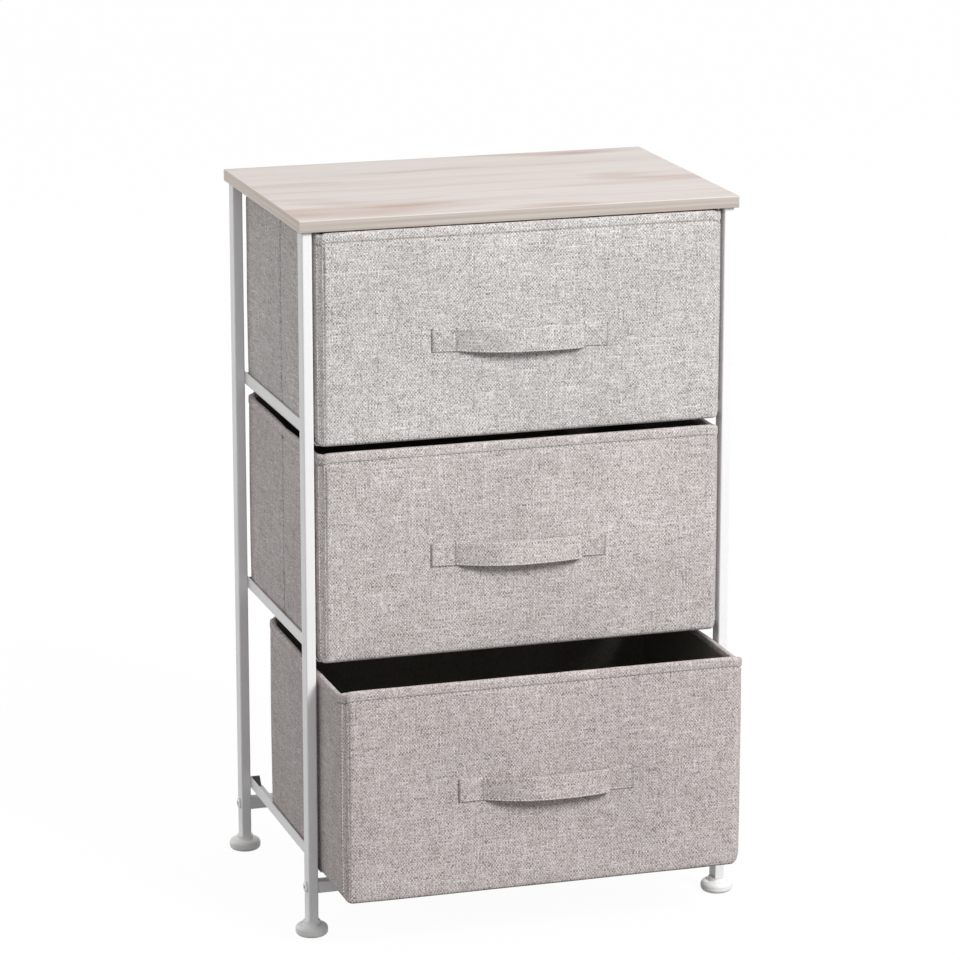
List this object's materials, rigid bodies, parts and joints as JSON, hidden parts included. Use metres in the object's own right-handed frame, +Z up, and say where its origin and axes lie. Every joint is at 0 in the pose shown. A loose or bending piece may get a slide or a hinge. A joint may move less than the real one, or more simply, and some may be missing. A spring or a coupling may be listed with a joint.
{
  "type": "fabric drawer dresser",
  "caption": "Narrow dresser: white steel tube frame on levelling feet, pale wood-grain top, and soft woven drawers with strap handles that slide on bent steel runners.",
  "frame": {"origin": "on the floor, in the middle of the rectangle of the feet, under the frame's centre", "axes": "+X to the right seen from the front, +Y to the back, +Z up"},
  "size_m": [0.4658, 0.3969, 0.73],
  "materials": {
    "wood_top": "matt laminate, pale wood grain",
    "white_steel": "satin powder coat",
    "dark_steel": "matt dark grey",
    "bolt_steel": "zinc plated",
    "white_plastic": "satin moulded",
    "insert_plastic": "moulded",
    "linen_cover": "heathered linen weave",
    "dark_lining": "matt non-woven",
    "board": "raw grey board",
    "covered_board": "board in dark non-woven"
  },
  "bodies": {
    "frame": {"top_panel": "wood_top", "front_left_post": "white_steel", "front_right_post": "white_steel", "back_left_post": "white_steel", "back_right_post": "white_steel", "front_cross_bar": "white_steel", "back_cross_bar": "white_steel", "lower_left_runner": "white_steel", "lower_right_runner": "white_steel", "middle_left_runner": "white_steel", "middle_right_runner": "white_steel", "upper_left_runner": "white_steel", "upper_right_runner": "white_steel", "runner_stops": "dark_steel", "cross_bar_bolts": "bolt_steel", "cross_bar_blocks": "bolt_steel", "foot_inserts": "insert_plastic", "top_plugs": "insert_plastic", "top_plug_screws": "bolt_steel"},
    "lower_drawer": {"lower_drawer_cover": "linen_cover", "lower_drawer_lining": "dark_lining", "lower_drawer_front_board": "board", "lower_drawer_back_board": "board", "lower_drawer_left_boards": "board", "lower_drawer_right_boards": "board", "lower_drawer_bottom_board": "covered_board", "lower_drawer_handle": "linen_cover"},
    "middle_drawer": {"middle_drawer_cover": "linen_cover", "middle_drawer_lining": "dark_lining", "middle_drawer_front_board": "board", "middle_drawer_back_board": "board", "middle_drawer_left_boards": "board", "middle_drawer_right_boards": "board", "middle_drawer_bottom_board": "covered_board", "middle_drawer_handle": "linen_cover"},
    "upper_drawer": {"upper_drawer_cover": "linen_cover", "upper_drawer_lining": "dark_lining", "upper_drawer_front_board": "board", "upper_drawer_back_board": "board", "upper_drawer_left_boards": "board", "upper_drawer_right_boards": "board", "upper_drawer_bottom_board": "covered_board", "upper_drawer_handle": "linen_cover"},
    "front_left_foot": {"front_left_foot_pad": "white_plastic", "front_left_foot_stud": "bolt_steel"},
    "front_right_foot": {"front_right_foot_pad": "white_plastic", "front_right_foot_stud": "bolt_steel"},
    "back_left_foot": {"back_left_foot_pad": "white_plastic", "back_left_foot_stud": "bolt_steel"},
    "back_right_foot": {"back_right_foot_pad": "white_plastic", "back_right_foot_stud": "bolt_steel"}
  },
  "joints": [
    {"name": "lower_drawer_slide", "type": "slide", "parent": "frame", "child": "lower_drawer", "axis": [0, -1, 0], "range_m": [-0.0845, 0.1215]},
    {"name": "middle_drawer_slide", "type": "slide", "parent": "frame", "child": "middle_drawer", "axis": [0, -1, 0], "range_m": [-0.0075, 0.1985]},
    {"name": "upper_drawer_slide", "type": "slide", "parent": "frame", "child": "upper_drawer", "axis": [0, -1, 0], "range_m": [-0.0075, 0.1985]},
    {"name": "front_left_foot_screw", "type": "slide", "parent": "frame", "child": "front_left_foot", "axis": [0, 0, -1], "range_m": [0, 0.008]},
    {"name": "front_right_foot_screw", "type": "slide", "parent": "frame", "child": "front_right_foot", "axis": [0, 0, -1], "range_m": [0, 0.008]},
    {"name": "back_left_foot_screw", "type": "slide", "parent": "frame", "child": "back_left_foot", "axis": [0, 0, -1], "range_m": [0, 0.008]},
    {"name": "back_right_foot_screw", "type": "slide", "parent": "frame", "child": "back_right_foot", "axis": [0, 0, -1], "range_m": [0, 0.008]}
  ]
}
